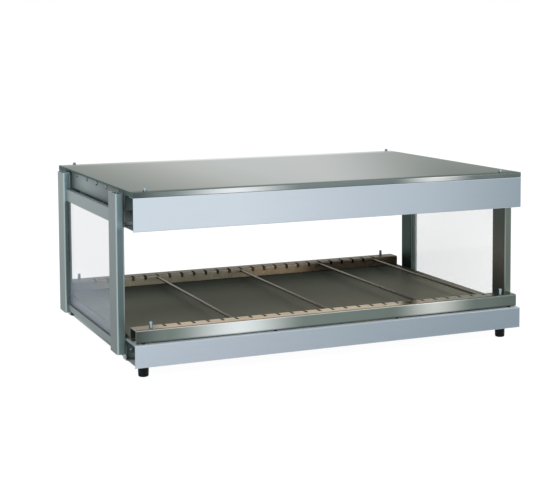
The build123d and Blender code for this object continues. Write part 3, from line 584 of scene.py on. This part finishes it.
def gasket_rubber():
    """Dull glazing rubber, black but for the rear uprights, which are painted a lighter slate as painted
    light, lightest on the right, with a bloom of dust.
    """
    rubber = Finish("gasket_rubber", {})
    x, y, _ = rubber.parts(rubber.point)
    fine = rubber.even_noise(600.0, 3.0)
    bloom = rubber.even_noise(30.0, 2.0)
    # Painted light: the rear uprights are painted slate, lighter on the right.
    slate = rubber.mix(past_middle(rubber, x), (0.06, 0.095, 0.085), (0.19, 0.29, 0.25))
    rear_upright = rubber.rise(y, 0.19, 0.2)
    colour = rubber.mix(rear_upright, (0.014, 0.021, 0.02), slate)
    colour = rubber.shade(colour, 0.8 + bloom * 0.4)
    rubber.relief(fine, 0.06 * MM, 0.5)
    return rubber.paint(Base_Color=colour, Roughness=0.55 + bloom * 0.2)


def foot_rubber():
    """Moulded black rubber, scuffed a little lighter in places."""
    rubber = Finish("foot_rubber", {"Specular IOR Level": 0.12})
    fine = rubber.even_noise(500.0, 4.0)
    scuff = rubber.noise([70.0, 70.0, 30.0], 3.0)
    colour = rubber.mix(rubber.rise(scuff, 0.5, 0.8), (0.002, 0.004, 0.005), (0.009, 0.013, 0.014))
    rubber.relief(fine, 0.06 * MM, 0.5)
    return rubber.paint(Base_Color=colour, Roughness=0.4 + scuff * 0.25)


def control_plastic():
    """Black moulded plastic with a spark-eroded texture."""
    plastic = Finish("control_plastic", {})
    texture = plastic.even_noise(1100.0, 3.0)
    handling = plastic.even_noise(50.0, 2.0)
    colour = plastic.mix(handling, (0.016, 0.017, 0.018), (0.032, 0.034, 0.035))
    plastic.relief(texture, 0.08 * MM, 0.5)
    return plastic.paint(Base_Color=colour, Roughness=0.38 + handling * 0.2)


def rocker_plastic():
    """Glossier black plastic of the rocker, rubbed smooth by fingers at both ends."""
    plastic = Finish("rocker_plastic", {})
    _, _, z = plastic.parts(plastic.point)
    low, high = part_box("power_rocker")
    rubbed = plastic.rise(abs(z - (low.z + high.z) / 2), 3 * MM, 9 * MM)
    fine = plastic.even_noise(900.0, 2.0)
    colour = plastic.mix(rubbed, (0.014, 0.014, 0.015), (0.03, 0.03, 0.032))
    plastic.relief(fine, 0.04 * MM, 0.3)
    return plastic.paint(Base_Color=colour, Roughness=0.34 - rubbed * 0.12 + fine * 0.06)


def thermostat_case():
    """Brown moulded thermostat body with a mottle of filler."""
    moulding = Finish("thermostat_case", {"Roughness": 0.5})
    mottle = moulding.even_noise(260.0, 4.0)
    colour = moulding.mix(mottle, (0.09, 0.055, 0.035), (0.17, 0.11, 0.07))
    moulding.relief(mottle, 0.06 * MM, 0.4)
    return moulding.paint(Base_Color=colour)


def loom_sleeve():
    """Braided black sleeve: two families of slanting strands."""
    braid = Finish("loom_sleeve", {"Roughness": 0.7})
    x, y, z = braid.parts(braid.point)
    radians_per_metre = 1400.0
    run, across = (x + z) * radians_per_metre, y * radians_per_metre
    right = braid.node("Math", {"operation": "SINE"}, {0: run + across})
    left = braid.node("Math", {"operation": "SINE"}, {0: run - across})
    strand = braid.rise(right * left, -0.4, 0.5)
    colour = braid.mix(strand, (0.012, 0.012, 0.013), (0.06, 0.06, 0.062))
    braid.relief(strand, 0.3 * MM, 0.8)
    return braid.paint(Base_Color=colour)


def marking_ink():
    """Off-white ink of the knob's line and the rocker's marks, slightly broken up."""
    ink = Finish("marking_ink", {"Roughness": 0.6})
    speck = ink.even_noise(800.0, 3.0)
    return ink.paint(Base_Color=ink.mix(speck, (0.62, 0.63, 0.63), (0.86, 0.86, 0.85)))


def dark_ink():
    """Dark print of the dial's scale and the switch's labels on the light fascia."""
    ink = Finish("dark_ink", {"Roughness": 0.55})
    speck = ink.even_noise(800.0, 3.0)
    return ink.paint(Base_Color=ink.mix(speck, (0.012, 0.014, 0.016), (0.045, 0.05, 0.054)))


FINISHES = {maker.__name__: maker() for maker in (
    cover_steel, fascia_metal, end_metal, frame_aluminium, rail_steel, shelf_coating, divider_steel,
    pin_chrome, fastener_steel, bracket_steel, glass, gasket_rubber, foot_rubber, reflector_aluminium,
    element_sheath, insulator_ceramic, insulation_wool, heater_blanket, control_plastic,
    rocker_plastic, thermostat_case, loom_sleeve, marking_ink, dark_ink,
)}


def dress(piece, finish):
    piece.data.materials.clear()
    piece.data.materials.append(FINISHES[finish])


def dress_cad_nodes():
    for row in frame["record"]["subparts"]:
        dress(frame["nodes"][row["node"]], row["material_slot"])


# New pieces
def placed(name, mesh):
    """Turn a bmesh into an object of the scene."""
    data = bpy.data.meshes.new(name)
    mesh.to_mesh(data)
    mesh.free()
    piece = bpy.data.objects.new(name, data)
    bpy.context.scene.collection.objects.link(piece)
    return piece


def keep(name, mesh, body, finish):
    """Turn a bmesh into a piece that rides on a body and wears a finish."""
    bmesh.ops.recalc_face_normals(mesh, faces=mesh.faces)
    piece = placed(name, mesh)
    dress(piece, finish)
    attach(piece, body)
    return piece


def turned(mesh, profile, centre, steps=40):
    """Spin a closed profile of (radius, height) points about an upright axis through the centre."""
    points = [mesh.verts.new(centre + Vector((radius, 0, height))) for radius, height in profile]
    edges = [mesh.edges.new(pair) for pair in zip(points, points[1:] + points[:1])]
    bmesh.ops.spin(mesh, geom=points + edges, cent=centre, axis=(0, 0, 1), angle=math.tau,
                   steps=steps, use_merge=True)
    bmesh.ops.remove_doubles(mesh, verts=mesh.verts, dist=0.01 * MM)


def foot_places():
    """The middle of each foot, seen from above."""
    corners = [vertex.co for vertex in frame["nodes"]["feet"].data.vertices]
    for side in (-1, 1):
        for end in (-1, 1):
            near = [corner for corner in corners if corner.x * side > 0 and corner.y * end > 0]
            xs, ys = [corner.x for corner in near], [corner.y for corner in near]
            yield (min(xs) + max(xs)) / 2, (min(ys) + max(ys)) / 2


def rubber_feet():
    """Four moulded feet: rounded at the floor, with a fine waist groove, recessed for their screws."""
    height = max(vertex.co.z for vertex in frame["nodes"]["feet"].data.vertices)
    bore = 2.7 * MM
    recess_depth = 9 * MM
    profile = [
        (bore, recess_depth),
        (6.0 * MM, recess_depth),
        (6.4 * MM, 0.5 * MM),
        (7.0 * MM, 0.0),
        (8.8 * MM, 0.0),
        (10.4 * MM, 0.5 * MM),
        (11.5 * MM, 1.8 * MM),
        (11.9 * MM, 3.6 * MM),
        (12.0 * MM, 6.4 * MM),
        (11.4 * MM, 7.2 * MM),
        (12.1 * MM, 8.0 * MM),
        (12.45 * MM, height - 1.2 * MM),
        (12.0 * MM, height),
        (bore, height),
    ]
    mesh = bmesh.new()
    for x, y in foot_places():
        turned(mesh, profile, Vector((x, y, 0.0)))
    feet = keep("rubber_feet", mesh, "cabinet", "foot_rubber")
    for face in feet.data.polygons:
        face.use_smooth = True
    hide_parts("feet")


def chamber_strips():
    """Folded strips that close the heated chamber above the pan's front and rear walls."""
    pan_low, pan_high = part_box("heater_pan")
    sheet, flange = 0.8 * MM, 7 * MM
    past_pan = 17.4 * MM
    above_pan = 1.4 * MM
    slack = 0.3 * MM
    reach = pan_high.x + past_pan
    low, high = pan_high.z + above_pan, canopy_high.z - slack
    mesh = bmesh.new()
    for wall, inward in ((pan_low.y + slack, 1), (pan_high.y - slack, -1)):
        section = [(0, low), (0, high), (flange, high), (flange, high - sheet), (sheet, high - sheet),
                   (sheet, low)]
        corners = [mesh.verts.new((-reach, wall + inward * depth, level)) for depth, level in section]
        end = mesh.faces.new(corners)
        grown = bmesh.ops.extrude_face_region(mesh, geom=[end], use_keep_orig=True)["geom"]
        moved = [part for part in grown if isinstance(part, bmesh.types.BMVert)]
        bmesh.ops.translate(mesh, vec=(2 * reach, 0, 0), verts=moved)
    folds = [edge for edge in mesh.edges if abs(edge.verts[0].co.x - edge.verts[1].co.x) > reach]
    bmesh.ops.bevel(mesh, geom=folds, offset=0.25 * MM, segments=2, profile=0.5, affect="EDGES",
                    material=-1)
    keep("chamber_strips", mesh, "cabinet", "end_metal")


def surface_under(node, start, direction):
    """Where a ray from outside meets a node's surface, and which way the surface looks there."""
    data = frame["nodes"][node].data
    corners = [vertex.co for vertex in data.vertices]
    shell = BVHTree.FromPolygons(corners, [face.vertices for face in data.polygons])
    place, facing, _, _ = shell.ray_cast(start, direction)
    return place, facing


def letter_mesh(text, size, thickness):
    """Text laid flat in the XY plane, centred on the origin, as a bmesh."""
    curve = bpy.data.curves.new("letters", "FONT")
    curve.body = text
    curve.size = size
    curve.extrude = thickness / 2
    curve.align_x = "CENTER"
    curve.align_y = "CENTER"
    curve.resolution_u = 3
    holder = bpy.data.objects.new("letters", curve)
    mesh = bmesh.new()
    mesh.from_mesh(bpy.data.meshes.new_from_object(holder))
    bpy.data.objects.remove(holder)
    bmesh.ops.remove_doubles(mesh, verts=mesh.verts, dist=0.001 * MM)
    return mesh


def print_at(mesh, text, size, place, facing, proud=0.05 * MM):
    """Add text to a mesh, standing upright on a surface that looks to the rear."""
    across = Vector((-1, 0, 0))
    up = facing.cross(across).normalized()
    turn = Matrix((across, up, facing)).transposed().to_4x4()
    letters = letter_mesh(text, size, 2 * proud)
    bmesh.ops.transform(letters, matrix=Matrix.Translation(place) @ turn, verts=letters.verts)
    data = bpy.data.meshes.new("print")
    letters.to_mesh(data)
    letters.free()
    mesh.from_mesh(data)
    bpy.data.meshes.remove(data)


def bar_at(mesh, size, matrix):
    """Add a bar to a mesh: its size along its own X, Y and Z, and where it goes."""
    bmesh.ops.create_cube(mesh, size=1.0, matrix=matrix @ Matrix.Diagonal((*size, 1.0)))


def from_top(angle):
    """The direction at an angle from the top of the dial, clockwise as seen from behind."""
    return Vector((-math.sin(angle), 0, math.cos(angle)))


def dial_scale():
    """Printed scale round the knob: OFF at the top, then plain numbers clockwise to the last stop."""
    labels = ("OFF", "2", "4", "6", "8", "10")
    label_size, label_ring = 4.6 * MM, 21.4 * MM
    tick_ring, ink = 15.6 * MM, 0.1 * MM
    ticks_per_label = 5
    turn_step = math.radians(270 / (len(labels) - 1))
    low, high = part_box("thermostat_knob")
    centre = (low + high) / 2
    centre.y = rear_face
    mesh = bmesh.new()
    for number, label in enumerate(labels):
        place = centre + from_top(number * turn_step) * label_ring
        print_at(mesh, label, label_size, place, REARWARD)
    for tick in range((len(labels) - 1) * ticks_per_label + 1):
        angle = tick * turn_step / ticks_per_label
        width, length = (0.25 * MM, 1.3 * MM) if tick % ticks_per_label else (0.4 * MM, 2.2 * MM)
        place = centre + from_top(angle) * (tick_ring + length / 2)
        turn = Matrix.Rotation(-angle, 4, "Y")
        bar_at(mesh, (width, ink, length), Matrix.Translation(place) @ turn)
    keep("dial_scale", mesh, "cabinet", "dark_ink")


def knob_line():
    """White line let into the knob's pointer."""
    low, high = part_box("thermostat_knob")
    centre = (low + high) / 2
    above_centre, depth = 6.3 * MM, 0.04 * MM
    mesh = bmesh.new()
    place = Vector((centre.x, high.y - depth, centre.z + above_centre))
    bar_at(mesh, (0.9 * MM, 0.1 * MM, 6.6 * MM), Matrix.Translation(place))
    keep("knob_line", mesh, "knob", "marking_ink")


def rocker_marks():
    """I and O on the two halves of the rocker."""
    low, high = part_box("power_rocker")
    centre = (low + high) / 2
    mark_size, from_centre = 5.0 * MM, 5.4 * MM
    outside = high.y + 20 * MM
    mesh = bmesh.new()
    for mark, offset in (("I", from_centre), ("O", -from_centre)):
        start = Vector((centre.x, outside, centre.z + offset))
        place, facing = surface_under("power_rocker", start, -REARWARD)
        print_at(mesh, mark, mark_size, place, facing)
    keep("rocker_marks", mesh, "rocker", "marking_ink")


def switch_labels():
    """ON and OFF printed above and below the switch."""
    low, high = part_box("switch_housing")
    label_size, away = 4.2 * MM, 3.6 * MM
    middle = (low.x + high.x) / 2
    mesh = bmesh.new()
    for label, level in (("ON", high.z + away), ("OFF", low.z - away)):
        print_at(mesh, label, label_size, Vector((middle, rear_face, level)), REARWARD)
    keep("switch_labels", mesh, "cabinet", "dark_ink")


# Stage, light and camera
def floor():
    """Pale floor that fades to white for the camera, so only the object's soft shadow is left on it."""
    mesh = bmesh.new()
    bmesh.ops.create_grid(mesh, x_segments=1, y_segments=1, size=14.0)
    plane = placed("floor", mesh)
    pale = Finish("floor_paint", {"Roughness": 0.9, "Specular IOR Level": 0.0})
    speck = pale.even_noise(40.0, 2.0)
    pale.paint(Base_Color=pale.mix(speck, (0.86, 0.86, 0.86), (0.9, 0.9, 0.9)))
    white = pale.node("Emission", {}, {"Color": (1.0, 1.0, 1.0), "Strength": 1.09})
    paths = pale.tree.nodes.new("ShaderNodeLightPath").outputs
    seen = sum(Signal(pale, paths[f"Is {way} Ray"]) for way in ("Camera", "Glossy", "Transmission"))
    lit = Signal(pale, pale.shader.outputs[0])
    blended = pale.node("MixShader", {}, {0: seen * 0.88, 1: lit, 2: white})
    pale.feed(pale.tree.nodes["Material Output"].inputs["Surface"], blended)
    plane.data.materials.append(pale.material)


def world():
    """Even room light, and white behind the object for the camera, reflections and glass."""
    room = bpy.data.worlds.new("room")
    room.use_nodes = True
    nodes, links = room.node_tree.nodes, room.node_tree.links
    nodes.clear()
    ambient, white = (nodes.new("ShaderNodeBackground") for _ in range(2))
    ambient.inputs["Color"].default_value = (0.97, 0.985, 1.0, 1.0)
    ambient.inputs["Strength"].default_value = 0.5
    white.inputs["Color"].default_value = (1.0, 1.0, 1.0, 1.0)
    white.inputs["Strength"].default_value = 1.0
    paths = nodes.new("ShaderNodeLightPath")
    either = nodes.new("ShaderNodeMath")
    either.operation = "ADD"
    any_seen = nodes.new("ShaderNodeMath")
    any_seen.operation = "ADD"
    any_seen.use_clamp = True
    blended = nodes.new("ShaderNodeMixShader")
    output = nodes.new("ShaderNodeOutputWorld")
    links.new(paths.outputs["Is Camera Ray"], either.inputs[0])
    links.new(paths.outputs["Is Glossy Ray"], either.inputs[1])
    links.new(either.outputs[0], any_seen.inputs[0])
    links.new(paths.outputs["Is Transmission Ray"], any_seen.inputs[1])
    links.new(any_seen.outputs[0], blended.inputs[0])
    links.new(ambient.outputs[0], blended.inputs[1])
    links.new(white.outputs[0], blended.inputs[2])
    links.new(blended.outputs[0], output.inputs[0])
    bpy.context.scene.world = room


def soft_lamp(name, place, size, power, mirrored=True):
    """A square lamp turned to the middle of the cabinet."""
    middle = Vector((0.0, 0.0, 0.25))
    lamp = bpy.data.lights.new(name, "AREA")
    lamp.shape = "SQUARE"
    lamp.size = size
    lamp.energy = power
    holder = bpy.data.objects.new(name, lamp)
    holder.location = place
    holder.visible_glossy = mirrored
    holder.rotation_euler = (middle - Vector(place)).to_track_quat("-Z", "Y").to_euler()
    bpy.context.scene.collection.objects.link(holder)


def lamps():
    """A key at the left, a weaker fill at the right, and two more lamps that the metals don't mirror."""
    soft_lamp("key_left", (-2.6, -3.2, 2.4), 2.2, 95.0)
    soft_lamp("fill_right", (3.0, -2.2, 1.8), 2.0, 34.0)
    soft_lamp("overhead", (0.2, 0.8, 3.4), 3.0, 60.0, mirrored=False)
    soft_lamp("rear_fill", (0.6, 3.4, 1.8), 2.2, 34.0, mirrored=False)


def camera():
    """The photograph's view: fitted position and turn, with the frame shifted down below the axis."""
    photo_width, photo_height = 557, 500
    focal_pixels = 1278.80
    axis_pixel_y = 139.0
    place = Vector((-1.28993, -3.02891, 0.75314))
    yaw, pitch, roll = 0.40141, 0.07796, -0.00547
    ahead = Vector((math.sin(yaw) * math.cos(pitch), math.cos(yaw) * math.cos(pitch), -math.sin(pitch)))
    level = Vector((math.cos(yaw), -math.sin(yaw), 0.0))
    upward = level.cross(ahead)
    right = math.cos(roll) * level + math.sin(roll) * upward
    top = math.cos(roll) * upward - math.sin(roll) * level
    lens = bpy.data.cameras.new("camera")
    lens.sensor_width = 36.0
    lens.lens = focal_pixels * lens.sensor_width / photo_width
    lens.shift_y = (axis_pixel_y - photo_height / 2) / photo_width
    lens.clip_end = 60.0
    view = bpy.data.objects.new("camera", lens)
    turn = Matrix((right, top, -ahead)).transposed().to_4x4()
    view.matrix_world = Matrix.Translation(place) @ turn
    bpy.context.scene.collection.objects.link(view)
    bpy.context.scene.camera = view
    bpy.context.scene.view_settings.view_transform = "Standard"


camera()
world()
lamps()
floor()
dress_cad_nodes()
rubber_feet()
chamber_strips()
dial_scale()
knob_line()
rocker_marks()
switch_labels()
